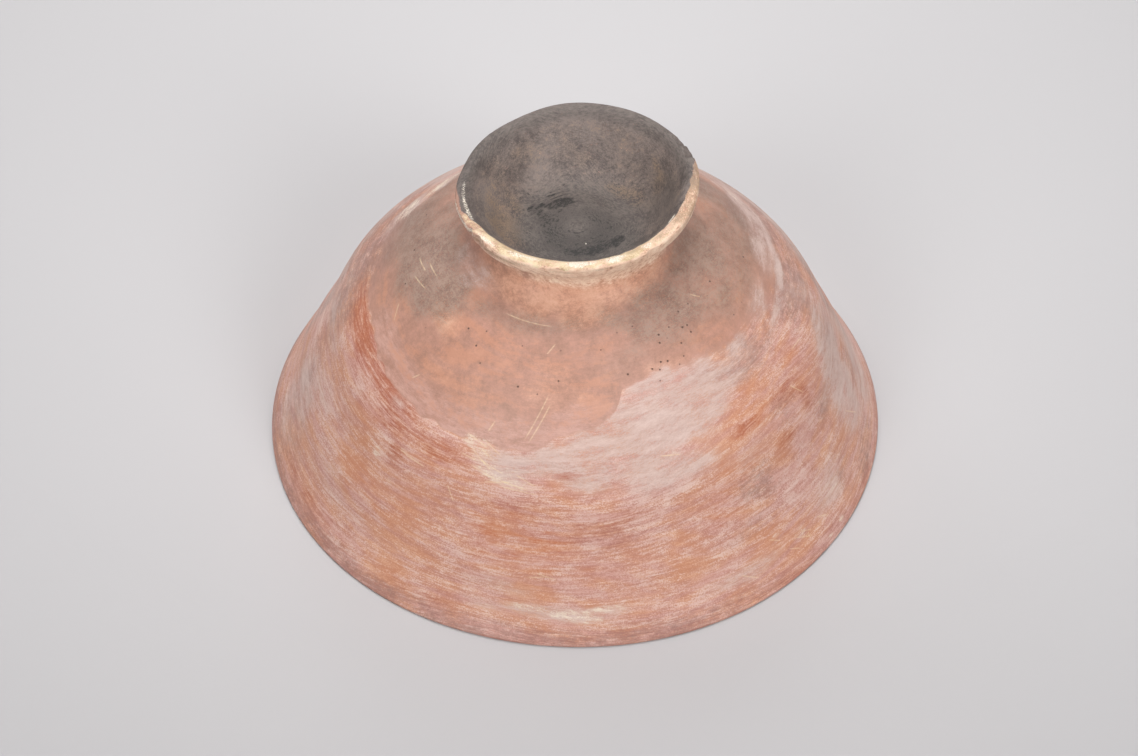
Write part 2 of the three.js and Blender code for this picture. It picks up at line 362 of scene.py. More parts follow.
# Where the finishes lie, read off the photograph: angle round the pot in degrees, place along the skin from
# the rim, half width and half height in millimetres, and strength. The back and the inside are guessed alike.
marks = {
    "orange": [
        (-100, 38, 30, 14, 0.7), (-108, 50, 20, 7, 0.5), (-140, 36, 26, 14, 0.4), (-128, 60, 20, 7, 0.5),
        (-50, 20, 26, 8, 0.5), (-58, 40, 16, 10, 0.3), (-44, 68, 10, 5, 0.9), (-48, 58, 12, 9, 0.7),
        (-56, 48, 14, 14, 0.5), (-22, 74, 8, 4, 0.7), (-22, 22, 10, 8, 0.5), (-52, 92, 12, 8, 0.3),
        (60, 30, 40, 16, 0.6), (130, 45, 34, 14, 0.6), (-30, -60, 40, 20, 0.6), (150, -85, 30, 20, 0.6),
        (60, -30, 40, 14, 0.5),
    ],
    "blush": [
        # Those round the front at places 127 to 140 are painted light over salmon slip, lifting the shade
        # under the foot's lip.
        (-92, 137, 46, 11, 1), (-120, 133, 18, 8, 0.7), (-60, 140, 22, 7, 0.7), (-96, 100, 16, 12, 0.35),
        (-146, 110, 12, 7, 0.8), (-88, 127, 8, 4, 0.8), (-78, 131, 9, 4, 0.8), (-68, 135, 9, 4, 0.7),
        (-60, 104, 14, 4, 0.4), (-130, 92, 22, 10, 0.25), (95, 130, 30, 6, 0.6),
    ],
    "mauve": [
        (-84, 46, 18, 14, 0.8), (-92, 71, 7, 5, 0.8), (-68, 58, 16, 5, 0.5), (-28, 47, 18, 16, 0.5),
        (-32, 90, 24, 8, 0.6), (-112, 22, 24, 6, 0.4), (-75, 5, 40, 5, 0.4), (-150, 8, 40, 6, 0.5),
        (100, 55, 26, 16, 0.7), (20, 40, 18, 16, 0.5), (165, 30, 22, 14, 0.5),
    ],
    "fresh": [
        (-176, 81, 16, 5, 0.7), (-163, 78.5, 26, 6.5, 1), (-148, 74, 20, 7, 0.85),
        (-134, 73.5, 8, 3.5, 0.8), (-138, 67, 9, 3.5, 0.7), (-129, 69, 16, 5, 0.6), (-121, 66, 12, 4, 0.4),
        (-135, 57, 5, 6, 1), (-146, 64, 26, 2.5, 0.5), (-104, 55, 24, 4, 0.35), (-30, 68, 9, 6, 0.5),
        (-36, 52, 8, 5, 0.4), (-92, 71, 4, 4, 0.6), (-46, 69, 7, 3, 0.9), (-25, 58, 4, 7, 0.8),
        (-21, 52, 4, 4, 0.6), (-80, 52, 14, 4, 0.4), (-155, 11, 34, 4, 0.5), (-120, 9, 20, 3, 0.4),
        (60, 76, 26, 5, 0.9), (110, 62, 22, 6, 0.7), (150, 30, 26, 6, 0.6),
    ],
    "smudge": [
        # Many of these, near angles 0 and 180 and round the back, follow the pot's outline: painted shade
        # that darkens and greys it there. The rest are grey rubbed in.
        (-48, 46, 13, 11, 0.62), (-53, 30, 10, 6, 0.4), (-20, 45, 8, 10, 0.5), (-24, 18, 14, 11, 0.4),
        (-33, 62, 12, 8, 0.4), (-88, 114, 14, 4, 0.3), (-33, 90, 26, 10, 0.7), (-101, 88, 4, 10, 0.3),
        (-111, 84, 5, 6, 0.25), (95, 40, 20, 14, 0.5), (165, 55, 14, 10, 0.4), (2, 80, 22, 16, 0.9),
        (26, 92, 28, 20, 0.95), (-10, 8, 18, 9, 0.5), (-4, 55, 14, 16, 0.6), (2, 30, 14, 18, 0.5),
        (55, 70, 26, 18, 0.6), (168, 80, 28, 20, 0.95), (-180, 66, 16, 16, 0.6), (150, 88, 24, 14, 0.8),
        (-171, 18, 24, 24, 0.5), (-15, 7, 10, 6, 0.5), (41, 77, 20, 9, 0.85), (27, 71, 18, 9, 0.9),
        (18, 64, 14, 9, 0.9), (12, 50, 8, 12, 0.8), (13, 28, 8, 16, 0.6), (138, 77, 20, 9, 0.8),
        (126, 82, 20, 11, 0.8), (52, 82, 20, 11, 0.8), (90, 86, 40, 8, 0.6), (152, 70, 18, 9, 0.85),
        (161, 62, 14, 9, 0.9), (167, 48, 8, 14, 0.8), (166, 26, 8, 14, 0.6), (-176, 46, 14, 16, 0.4),
        (125, 75, 24, 14, 0.6),
    ],
    "smoke": [
        (-172, 112, 30, 17, 1), (-162, 114, 24, 14, 1), (-169, 113, 20, 9, 0.7), (-182, 122, 24, 10, 0.6),
        (-124, 122, 34, 6, 0.42), (-107, 125, 16, 4, 0.28), (-74, 110, 16, 8, 0.26),
        (-56, 124, 26, 11, 0.66), (-36, 122, 26, 14, 0.44), (-42, 111, 22, 10, 0.3),
        (-14, 106, 20, 10, 0.4), (-8, 126, 26, 13, 0.84), (8, 112, 26, 16, 0.55), (28, 104, 26, 14, 0.6),
        (60, 110, 34, 16, 0.6), (115, 118, 26, 12, 0.5), (142, 108, 24, 14, 0.6), (164, 103, 24, 14, 0.75),
        # The first five patches from here follow the pot's outline and are painted shade
        (41, 77, 18, 8, 0.4), (27, 71, 16, 8, 0.4), (18, 64, 12, 8, 0.35), (152, 70, 16, 8, 0.3),
        (161, 62, 12, 8, 0.3), (-70, -70, 40, 22, 0.7), (120, -40, 30, 16, 0.6), (30, -90, 24, 14, 0.5),
    ],
    "lime": [
        # Many of these, near angles 0 and 180 and round the back, follow the pot's outline: painted sheen
        # that greys it there. The rest are lime.
        (-72, 80, 24, 16, 1), (-58, 88, 22, 16, 0.85), (-84, 71, 20, 8, 0.8), (-106, 70, 14, 7, 0.8),
        (-68, 66, 22, 9, 0.6), (-97, 76, 9, 6, 0.9), (-90, 80, 10, 7, 0.9), (-83, 86, 10, 7, 0.9),
        (-77, 93, 9, 8, 0.9), (-69, 99, 12, 7, 0.8), (-56, 98, 16, 6, 0.5), (-38, 90, 26, 9, 0.35),
        (-33, 95, 6, 3, 0.5), (-14, 96, 14, 5, 0.6), (-2, 87, 24, 2.5, 1), (-10, 60, 5, 6, 0.7),
        (-6, 26, 6, 11, 0.9), (-96, 13.5, 34, 4, 0.6), (-56, 13, 18, 5, 0.5), (-105, 22, 14, 5, 0.4),
        (-172, 32, 26, 26, 0.55), (-176, 62, 18, 12, 0.4), (-150, 25, 26, 10, 0.3), (-30, 20, 18, 10, 0.4),
        (-13, 40, 14, 24, 0.65), (-45, 60, 14, 7, 0.35), (147, 94, 16, 8, 1), (156, 88, 12, 6, 0.5),
        (137, 99, 12, 5, 0.8), (45, 93, 16, 6, 0.8), (31, 89, 14, 6, 0.8), (19, 91, 14, 5, 0.7),
        (8, 95, 12, 6, 0.6), (8, 26, 13, 18, 0.8), (0, 56, 16, 26, 0.7), (18, 91, 28, 8, 0.6),
        (-7, 40, 14, 26, 0.8), (171, 62, 18, 18, 0.35), (80, 92, 24, 7, 0.6), (115, 20, 30, 7, 0.5),
        (-157, 130, 14, 7, 0.5), (-142, 130, 10, 5, 0.3), (-140, 73.5, 5, 3, 0.42), (2, 14, 12, 10, 0.8),
        (41, 77, 20, 9, 0.55), (27, 71, 18, 9, 0.6), (18, 64, 14, 9, 0.6), (12, 50, 8, 12, 0.6),
        (13, 28, 8, 16, 0.5), (138, 77, 20, 9, 0.6), (126, 82, 22, 12, 1), (54, 82, 22, 12, 1),
        (104, 86, 30, 10, 0.9), (76, 86, 30, 10, 0.9), (152, 70, 18, 9, 0.5), (161, 62, 14, 9, 0.55),
        (167, 48, 8, 14, 0.55), (166, 26, 8, 14, 0.5), (60, -62, 34, 14, 0.6), (-150, -36, 34, 12, 0.5),
        (-20, -105, 26, 18, 0.6),
    ],
    "scuff": [
        (-116, 75.5, 8, 4, 0.66), (-113, 69, 6, 6, 0.6), (-104, 63.5, 13, 1.8, 0.7), (-108, 67, 9, 5, 0.4),
        (-108, 11.5, 10, 2.4, 0.55), (-100, 14.5, 11, 2.2, 0.7), (-92, 13, 12, 2.8, 0.75),
        (-84, 15, 10, 2, 0.6), (-88, 10.5, 7, 1.5, 0.55), (-139.5, 52, 3.5, 3.5, 0.9),
        (-134, 45, 3, 2.5, 0.6), (-132, 60, 8, 1.3, 0.5), (-66, 72, 4, 2, 0.6), (-41, 15, 5, 4, 0.5),
        (-28, 17, 6, 5, 0.5), (-26, 7, 9, 4, 0.35), (-30, 3.6, 2.4, 1.3, 0.9), (-34.5, 2.6, 3, 1.2, 0.9),
        (-47, 21, 2, 1, 0.8), (-58, 3, 4, 0.8, 0.6), (-50, 18, 22, 7, 0.3), (150, 92, 11, 6, 0.8),
        (142, 98, 11, 4.5, 1), (157, 86, 8, 4, 0.4), (36, 91, 10, 2, 0.6), (100, 70, 8, 3, 0.6),
    ],
    "pits": [
        (-47, 109, 9, 4, 0.9), (-120, 103, 8, 2.5, 0.7), (-110, 101, 6, 3, 0.6), (-95, 112, 60, 14, 0.4),
        (-40, 114, 50, 14, 0.5), (-160, 108, 40, 12, 0.35), (80, 108, 90, 12, 0.4),
    ],
    "char": [
        (108, 201.4, 3.4, 1.3, 1), (115, 200.4, 3.6, 1.3, 1), (112, 201, 5, 0.8, 1), (123, 200, 3, 0.9, 1),
        (131, 200.4, 2.4, 0.8, 1), (138, 198.8, 2, 0.8, 1), (104, 203.2, 1.6, 0.9, 1),
        (96, 203.1, 1.6, 0.4, 1), (88, 202.4, 1.6, 0.3, 0.9), (95, 200.8, 0.8, 0.3, 0.8),
        (110, 204.4, 1.4, 0.6, 1), (122, 203.4, 2.2, 0.7, 0.9), (126, 205.6, 1.4, 0.7, 0.9),
        (133, 202, 1.6, 0.9, 0.7), (117, 202.2, 4.5, 1.6, 0.7), (104, 202.6, 2.4, 1, 0.9),
        (114, 198.2, 6.5, 0.36, 1), (112, 196.4, 6, 0.34, 1), (110, 194.9, 5, 0.3, 0.9),
        (103, 193.4, 0.9, 0.6, 0.9), (122, 196.2, 3, 0.5, 0.7), (138, 191.6, 0.6, 1.3, 0.55),
        (136.5, 194, 0.7, 1, 0.55), (134, 196, 1.2, 0.7, 0.5), (147, 190.6, 0.5, 0.6, 0.35),
        (156, 194.2, 1, 0.7, 0.4), (162, 196.6, 0.8, 0.9, 0.5), (158, 197.8, 0.6, 0.5, 0.45),
        (164, 200.2, 0.9, 0.6, 0.4), (169, 205.2, 0.9, 0.7, 0.4), (179, 204.6, 1, 0.9, 0.35),
        (148, 198, 4, 3, 0.42), (160, 203, 4, 3, 0.4), (141, 198.4, 2.2, 0.7, 0.9),
        (146, 196.4, 1.6, 0.6, 0.8), (152, 196, 1.2, 0.7, 0.7), (146, 191, 1.6, 0.5, 0.6),
        (150, 200.6, 2, 0.8, 0.7), (51, 197, 3, 0.4, 0.45), (43, 194.8, 1.6, 0.4, 0.4),
        (-19, 199, 2, 1.1, 0.75), (-24, 200.4, 2.4, 0.9, 0.7), (-31, 199.2, 2, 0.8, 0.6),
        (-36, 201.2, 3.2, 1, 0.65), (-52, 201.2, 4.4, 1.2, 0.6), (-63, 202.4, 5, 1.2, 0.5),
        (-80, 203, 8, 2, 0.5), (-88, 206, 44, 9, 0.5), (-96, 213.1, 1.6, 0.35, 0.9),
        (-70, 203.6, 7, 1.6, 0.7), (-45, 202, 4, 0.9, 0.8), (-28, 200.6, 1.6, 0.5, 0.9),
        (-53, 213.1, 0.7, 0.35, 0.9), (-140, 212.7, 0.7, 0.4, 0.9), (-92, 166.4, 9, 0.6, 0.8),
        (-112, 167, 8, 0.5, 0.4),
    ],
    "chalk": [
        # The first seven, round the front of the crest, are painted highlights; the rest are chalky crumbs.
        (-140, lipPlace - 1, 6, 1, 0.6), (-121, lipPlace, 4, 1.6, 0.7), (-113, lipPlace + 0.5, 5, 1.4, 0.6),
        (-90, lipPlace, 5, 2, 1), (-83, lipPlace + 0.5, 3, 1.4, 0.6), (-71, lipPlace, 4, 1.8, 1),
        (-53, lipPlace, 2.5, 1.5, 0.7), (-168, 159, 14, 1.8, 0.85), (-152, 159.6, 7, 1.4, 0.7),
        (-164, 164, 9, 1, 0.5), (-178, 163.6, 6, 0.8, 0.42), (-29, lipPlace + 3.4, 3, 0.7, 1),
        (-40, lipPlace - 1.8, 6, 0.4, 0.5), (-70, 207.1, 0.5, 0.4, 0.6),
    ],
    "stain": [
        (-42, lipPlace, 7, 2.2, 0.6), (-28, lipPlace, 8, 2.6, 0.8), (-12, lipPlace, 10, 3, 0.75),
        (3, lipPlace - 1, 9, 3, 0.8), (-104, lipPlace + 2, 5, 1, 0.5), (-61, lipPlace + 0.5, 4, 1.2, 0.5),
        (-128, lipPlace + 1, 3, 1, 0.5), (-117, lipPlace - 3, 7, 1, 0.45), (-96, lipPlace - 4, 8, 1, 0.4),
        (-76, lipPlace - 3.5, 7, 0.8, 0.45), (-150, lipPlace, 5, 1.4, 0.4), (-20, 160.4, 10, 2.4, 0.5),
        (-147, 158.2, 7, 1.8, 0.6), (-135, 158.4, 7, 1.5, 0.5), (-124, 158.6, 7, 1.2, 0.45),
    ],
    "rust": [
        (55, 180, 14, 12, 0.4), (20, 178, 5, 6, 0.6), (160, 185, 10, 14, 0.6), (-168, 188, 14, 16, 1),
        (51, 192.4, 6, 2.4, 1), (30, 190, 8, 6, 0.6), (35, 175, 5, 3, 0.6), (100, 176, 12, 6, 0.4),
        (112, 197, 6, 2, 0.8), (130, 174, 8, 4, 0.5), (-130, 200, 8, 5, 0.5),
    ],
}
# The edge of the soot on the foot's lip: angle and place
sootEdge = [
    (-180, 161), (-165, 162), (-150, 165.2), (-130, 167.4), (-105, 167), (-98, 165.2), (-60, 165.3),
    (-45, 165.8), (-30, 165.4), (-20, 165.2), (-6, 164.4), (5, 162.8), (15, 160), (30, 157), (100, 156),
    (150, 156.5), (170, 159),
]
# How much pale clay shows on the lip's top, and how much buff clay below it: angle and share
lipCream = [
    (-180, 0.15), (-165, 0.35), (-150, 0.75), (-128, 1), (-54, 1), (-46, 0.5), (-30, 0.3), (-15, 0.1),
    (160, 0.1),
]
footBuff = [
    (-180, 0.1), (-165, 0.18), (-150, 0.3), (-138, 0.45), (-125, 0.7), (-112, 1), (-40, 1), (-20, 0.9),
    (0, 0.7), (12, 0.45), (30, 0.2), (150, 0.2), (165, 0.3),
]
# The edge of the smooth base zone, where the wiped wall begins: angle and place
baseEdge = [
    (-165, 83), (-152, 79), (-140, 76.5), (-122, 75), (-114, 77), (-103, 77), (-99, 80), (-94, 83),
    (-88, 86.5), (-81, 89), (-78, 95), (-76, 99.5), (-64, 103.5), (-55, 101.5), (-40, 98), (-25, 96),
    (-12, 92), (4, 87), (24, 85), (43, 87), (60, 90), (100, 92), (130, 97), (142, 103), (150, 100),
    (156, 91), (165, 88), (178, 84.5),
]
# How gradual that edge is: angle and millimetres
edgeSoft = [
    (-180, 5), (-166, 2), (-155, 1), (-78, 1), (-62, 2.5), (-48, 7), (-20, 9), (20, 9), (60, 5), (150, 4),
]
# How much painted shade greys the rim: angle and share
rimShadeByAngle = [(-180, 0.6), (-60, 0.55), (-42, 0.1), (20, 0.2), (60, 0.6)]
# How the finishes follow the pot's own edges: degrees, millimetres along the skin and shares. In a pair of
# limits the finish is nothing at the first and full at the second.
cover = {
    "push": 0.12,  # waves push the edges of patches by this share of their size
    "patchEdge": (-0.4, 0.8),  # shares of a patch's size, inside its edge
    "axisRadii": (2, 30),  # the waves die away towards the axis
    "zoneLobes": 0.7,  # waves in the base zone's edge
    "zoneSteps": 40,  # the base zone's value rises by one over this many times its edge's softness
    "leftFront": -125,  # the middle of the side where that edge is sharp
    "bloomAngles": (50, 35),  # to each side of it
    "bloomStart": (-1, 1),  # inside that edge, as in the next two
    "bloomEnd": (18, 6),
    "warmthStart": (0, 4),
    "warmthEnd": (150, 140),
    # Painted shade along the rim: the next three darken its edge in mauve and grey the band round it
    "rimShadeMauve": (10, 2),
    "rimShadeStart": (-20, -4),
    "rimShadeEnd": (13, 2),
    "limeCut": 0.8,  # how much of the lime stops at that edge on its sharp side
    "limeCutAngles": (95, 75),
    "limeCutEnd": (118, 108),
    "sootRagged": 0.3,
    "sootStart": (-0.8, 0.8),
    "buffStart": (-6, 3),  # from the neck's lower edge and from its upper one
    "creamRagged": 0.4,
    "creamStart": (-3.2, -1.4),  # past the foot lip's crest
    "rust": 0.4,
    "rustStart": (0, 8),  # past the crest
    "rustEnd": (205, 195),
    "footFront": -82,
    "footFrontAngles": (96, 66),
    "floorSootAndShade": 0.8,  # soot and painted shade on the floor of the foot's hollow, and all of it in front
    "floorStart": (182, 200),
    "sideDark": 0.5,
    "sides": [(6, 26, 1), (-170, 24, 0.7)],  # of the hollow: angle, half width and share
    "sideStart": (6, 11),  # past the crest
    "lipDark": 0.6,  # along the back of the lip
    "lipDarkStart": (-4, 0),  # past the crest
    "lipDarkEnd": (8, 3),
}
# How the streaks lie: the radius they are drawn round at, smaller than the pot's, which stretches them round
# it, how far they drift up and down, and how far they climb on the right of the front, in mm
lay = {"grain": (25, 1.4, 11), "brush": (14, 3, 0)}
climbing = {"angles": [(-92, -45), (5, -35)], "places": [(20, 55), (110, 75)]}
# Scratches down to pale clay, thin and broken
scratched = {
    "width": 0.5,  # mm
    "flank": (0.7, 0.2),  # shares of the width where a line starts and is full
    "reach": (2.4, 1.4),  # mm from a line within which a point belongs to it
    "far": 9.0,  # mm, where there is no line
    "ends": (0.5, 0.3),  # shares of a line's length, from its middle
    "breaks": (0.4, 0.6),  # the strokes' values between which it goes from its least to its most
    "least": 0.3,
    "most": 0.62,
    "colour": "e4cba8",
    "rough": 0.8,
}
# They are in three sets whose lines keep apart: angle and place where each starts and ends
scratches = [
    [
        (-104, 80, -98.5, 99.5), (-119, 78, -112, 74.5), (-109, 64.5, -101, 62.5), (-164, 97.5, -159.5, 92),
        (-177, 110.5, -168, 112.5), (-117.5, 76.5, -110.5, 71), (-116, 67, -108, 63.8),
        (-49, 21.5, -46, 17.5), (-41, 15, -38, 12), (-43, 15, -38.5, 9.5), (-98, 29.5, -94, 27.2),
        (-13, 30, -8.5, 20), (-34, 121, -31, 117), (60, 96, 66, 84), (120, 60, 129, 57),
    ],
    [
        (-101.5, 113.5, -98.5, 118.5), (-102.8, 79.5, -97.7, 96), (-172, 114.5, -162, 116),
        (-113.7, 80.5, -112.4, 86), (-117, 73.5, -110, 66.5), (-119, 70, -112.5, 68.6),
        (-108, 62.2, -99, 61.4), (-134, 59.5, -126, 58.6), (-100, 27, -96, 28.2), (-36, 14.5, -32.5, 10.5),
        (-28, 68, -25, 60), (140, 98, 149, 96),
    ],
    [
        (-125, 124.4, -100, 124.7), (-114, 77.5, -108.5, 73), (-115, 70.5, -107, 66.5), (-105, 68, -99, 64),
        (-120, 56.5, -117.5, 50), (-112, 62, -105, 64.5), (-70, 73, -64, 71), (-170, 107.5, -160, 110),
        (-141, 84, -139, 88), (-57, 14, -53, 9), (-45, 12.5, -42.5, 9.5), (100, 30, 104, 22),
        (-20, 75, -14, 73),
    ],
]


def patchy(angle, place, radius, patches, edge):
    # Soft round patches laid over each other, with their edges at 1 or where a wave pushes them.
    bare = np.ones(np.broadcast(angle, place).shape)
    for degrees, middle, wide, high, strength in patches:
        off = np.hypot(np.radians(turned(angle, degrees)) * radius / wide, (place - middle) / high)
        bare = bare * (1 - strength * smoothStep(edge - off, *cover["patchEdge"]))
    return 1 - bare


def byAngle(angle, pairs):
    # The value read off a list of angles and values, straight between them.
    degrees, values = np.array(pairs).T
    return np.interp(np.degrees(angle), degrees, values, period=360)


def coverFields(angle, place, radius):
    # How much of each finish there is at each point, 0 to 1: its patches laid over each other, or one step
    # where it starts times one where it ends.
    c = cover
    pushed = 1 + c["push"] * smoothStep(radius, *c["axisRadii"]) * waves(angle, place, "patches")
    fields = {name: patchy(angle, place, radius, patches, pushed) for name, patches in marks.items()}
    soft = byAngle(angle, edgeSoft)
    within = place - (byAngle(angle, baseEdge) + c["zoneLobes"] * waves(angle, 0, "zoneEdge"))
    fromLeft = np.abs(turned(angle, c["leftFront"]))
    fields["baseZone"] = np.clip(0.5 + within / soft / c["zoneSteps"], 0, 1)  # a half on the edge
    lap = smoothStep(within, *c["bloomStart"]) * smoothStep(within, *c["bloomEnd"])
    fields["bloom"] = smoothStep(fromLeft, *c["bloomAngles"]) * lap
    fields["warmth"] = smoothStep(within, *c["warmthStart"]) * smoothStep(place, *c["warmthEnd"])
    fields["wall"] = 1 - smoothStep(within, 0, soft)
    fields["haze"] = fields["wall"]
    # Painted shade: the rim darkened in mauve towards its edge, and greyed in a band round it
    fields["mauve"] = np.maximum(fields["mauve"], smoothStep(place, *c["rimShadeMauve"]))
    rimShade = smoothStep(place, *c["rimShadeStart"]) * smoothStep(place, *c["rimShadeEnd"])
    fields["smudge"] = np.maximum(fields["smudge"], byAngle(angle, rimShadeByAngle) * rimShade)
    cut = c["limeCut"] * smoothStep(fromLeft, *c["limeCutAngles"]) * smoothStep(place, *c["limeCutEnd"])
    fields["lime"] = fields["lime"] * (1 - cut * smoothStep(within, -soft / 2, soft / 2))
    ragged = waves(angle, place, "soot")
    pastSoot = place - byAngle(angle, sootEdge) + c["sootRagged"] * ragged
    fields["soot"] = smoothStep(pastSoot, *c["sootStart"])
    below, above = c["buffStart"]
    fields["buff"] = byAngle(angle, footBuff) * smoothStep(place, neckLow + below, neckHigh + above)
    pastCrest = place - lipPlace
    worn = smoothStep(pastCrest + c["creamRagged"] * ragged, *c["creamStart"])
    fields["cream"] = byAngle(angle, lipCream) * worn
    browned = smoothStep(pastCrest, *c["rustStart"]) * smoothStep(place, *c["rustEnd"])
    fields["rust"] = np.maximum(fields["rust"], c["rust"] * browned)
    front = smoothStep(np.abs(turned(angle, c["footFront"])), *c["footFrontAngles"])
    # Painted shade with the soot: the floor of the hollow and its front side are darkened
    floorSootAndShade = smoothStep(place, *c["floorStart"]) * (c["floorSootAndShade"] + (1 - c["floorSootAndShade"]) * front)
    sides = sum(share * np.exp(-(turned(angle, middle) / wide)**2) for middle, wide, share in c["sides"])
    sideDark = c["sideDark"] * sides * smoothStep(pastCrest, *c["sideStart"])
    lipDark = smoothStep(pastCrest, *c["lipDarkStart"]) * smoothStep(pastCrest, *c["lipDarkEnd"])
    lipDark = c["lipDark"] * lipDark * (1 - front)
    fields["deepSoot"] = np.maximum.reduce([floorSootAndShade, sideDark, lipDark])
    return fields


def scratchFields(angle, place, radius):
    # For each set of scratches: how far a point is to the side of the nearest line, and how much it belongs
    # to that line, which is a step across it times a step along it.
    aside = np.full((*np.broadcast(angle, place).shape, len(scratches)), scratched["far"])
    close = np.zeros(aside.shape)
    for k, lines in enumerate(scratches):
        for fromAngle, fromPlace, toAngle, toPlace in lines:
            u = np.radians(turned(angle, fromAngle)) * radius
            v = place - fromPlace
            du, dv = np.radians(toAngle - fromAngle) * radius, toPlace - fromPlace
            length = np.hypot(du, dv)
            share = (u * du + v * dv) / length**2
            off = (u * dv - v * du) / length
            fromMiddle = np.abs(share - 0.5)
            here = smoothStep(np.abs(off), *scratched["reach"]) * smoothStep(fromMiddle, *scratched["ends"])
            aside[..., k] = np.where(here > close[..., k], off, aside[..., k])
            close[..., k] = np.maximum(close[..., k], here)
    return {"scratchAside": aside, "scratchClose": close}


def lieOf(kind, angle, place, radius):
    # Coordinates for streaks: round a circle that is smaller than the pot's, and along the skin with the
    # drift and less the climb. Near the axis the circle is half the radius, so that streaks don't fan out.
    widest, drift, climb = lay[kind]
    squeeze = np.minimum(widest, radius / 2)
    drift = drift * smoothStep(radius, *cover["axisRadii"]) * waves(angle, place, kind)
    for limits in climbing["angles"]:
        climb = climb * smoothStep(np.degrees(angle), *limits)
    for limits in climbing["places"]:
        climb = climb * smoothStep(place, *limits)
    x, y = squeeze * np.cos(angle), squeeze * np.sin(angle)
    return np.stack(np.broadcast_arrays(x, y, place + (drift - climb)), axis=-1)


def meshOfRings(name, rows, onAxis):
    # Rings of points at each row's radius and height, joined in turn by quads. The last ring joins the first,
    # or, on the axis, the first and last rings shrink to one point each.
    radius, height, place = (np.concatenate(part) for part in zip(*rows))
    ends = slice(1, -1) if onAxis else slice(None)
    r, z, p = (part[ends, None] for part in (radius, height, place))
    a = ringAngles[None, :]
    points = skin(a, p, r, z)
    count = len(points)
    index = np.arange(count * ringSteps).reshape(count, ringSteps)
    after = np.roll(index, -1, axis=1)
    lower, upper = (index[:-1], index[1:]) if onAxis else (index, np.roll(index, -1, axis=0))
    lowerAfter, upperAfter = (after[:-1], after[1:]) if onAxis else (after, np.roll(after, -1, axis=0))
    faces = np.stack([lower, lowerAfter, upperAfter, upper], axis=-1).reshape(-1, 4).tolist()
    vertices = points.reshape(-1, 3)
    if onAxis:
        tips = [np.array([0, 0, height[k]]) for k in (0, -1)]
        vertices = np.vstack([vertices, *tips])
        tip = np.full(ringSteps, len(vertices) - 2)
        faces += np.stack([tip, after[0], index[0]], axis=1).tolist()
        faces += np.stack([index[-1], after[-1], tip + 1], axis=1).tolist()
    # Normals of the whole skin, so that no joint shows as a line: a step round it crossed with one along it
    near, tiny = 0.3, 1e-9
    behind, ahead = (skin(a, q, *sectionAt(q)) for q in (p - near, p + near))
    onward = np.roll(points, -1, axis=1) - np.roll(points, 1, axis=1)
    normals = np.cross(onward, ahead - behind).reshape(-1, 3)
    if onAxis:
        normals = np.vstack([normals, (0, 0, -1), (0, 0, 1)])
    normals /= np.maximum(np.linalg.norm(normals, axis=1), tiny)[:, None]
    mesh = bpy.data.meshes.new(name)
    mesh.from_pydata((vertices * mm).tolist(), [], faces)
    mesh.shade_smooth()
    mesh.normals_split_custom_set_from_vertices(normals.tolist())
    tipRows = [0, -1] if onAxis else []
    for label, field in coverFields(a, p, r).items():
        values = np.r_[field.ravel(), [field[k].mean() for k in tipRows]]
        layer = mesh.attributes.new(label, "FLOAT", "POINT")
        layer.data.foreach_set("value", values.astype(np.float32))
    vectors = {kind: lieOf(kind, a, p, r) * mm for kind in lay} | scratchFields(a, p, r)
    for label, field in vectors.items():
        values = np.vstack([field.reshape(-1, 3), *[field[k].mean(axis=0) for k in tipRows]])
        layer = mesh.attributes.new(label, "FLOAT_VECTOR", "POINT")
        layer.data.foreach_set("vector", values.ravel().astype(np.float32))
    bakeMap(mesh, radius, height, onAxis)
    return mesh


def bakeMap(mesh, radius, height, onAxis):
    # The UV map: the ring is cut into sectors that lie as strips one above the other. Along a strip is round
    # the pot, and across it is along the section.
    sectors, gap = 4, 0.004
    across = runOf(np.stack([radius, height], axis=1))
    if not onAxis:
        across = np.r_[across, across[-1] + np.hypot(radius[0] - radius[-1], height[0] - height[-1])]
    across = across / across[-1]
    perSector = ringSteps // sectors
    column = np.arange(ringSteps)
    left = (column % perSector) / perSector
    right = left + 1 / perSector
    strip = column // perSector
    body = across[1:-1] if onAxis else across
    low, high = body[:-1, None], body[1:, None]
    flat = np.zeros((len(body) - 1, ringSteps))
    u = np.stack([left + flat, right + flat, right + flat, left + flat], axis=-1)
    v = np.stack([low + flat, low + flat, high + flat, high + flat], axis=-1)
    v = (strip[None, :, None] + gap + (1 - 2 * gap) * v) / sectors
    uv = np.stack([gap + (1 - 2 * gap) * u, v], axis=-1).reshape(-1, 2)
    if onAxis:
        middle = (left + right) / 2
        first = [(middle, across[0]), (right, across[1]), (left, across[1])]
        last = [(left, across[-2]), (right, across[-2]), (middle, across[-1])]
        for corners in (first, last):
            u = np.stack([c[0] for c in corners], axis=1)
            v = np.stack([(strip + gap + (1 - 2 * gap) * c[1]) / sectors for c in corners], axis=1)
            uv = np.vstack([uv, np.stack([gap + (1 - 2 * gap) * u, v], axis=-1).reshape(-1, 2)])
    mesh.uv_layers.new(name="OFBake").data.foreach_set("uv", uv.ravel().astype(np.float32))


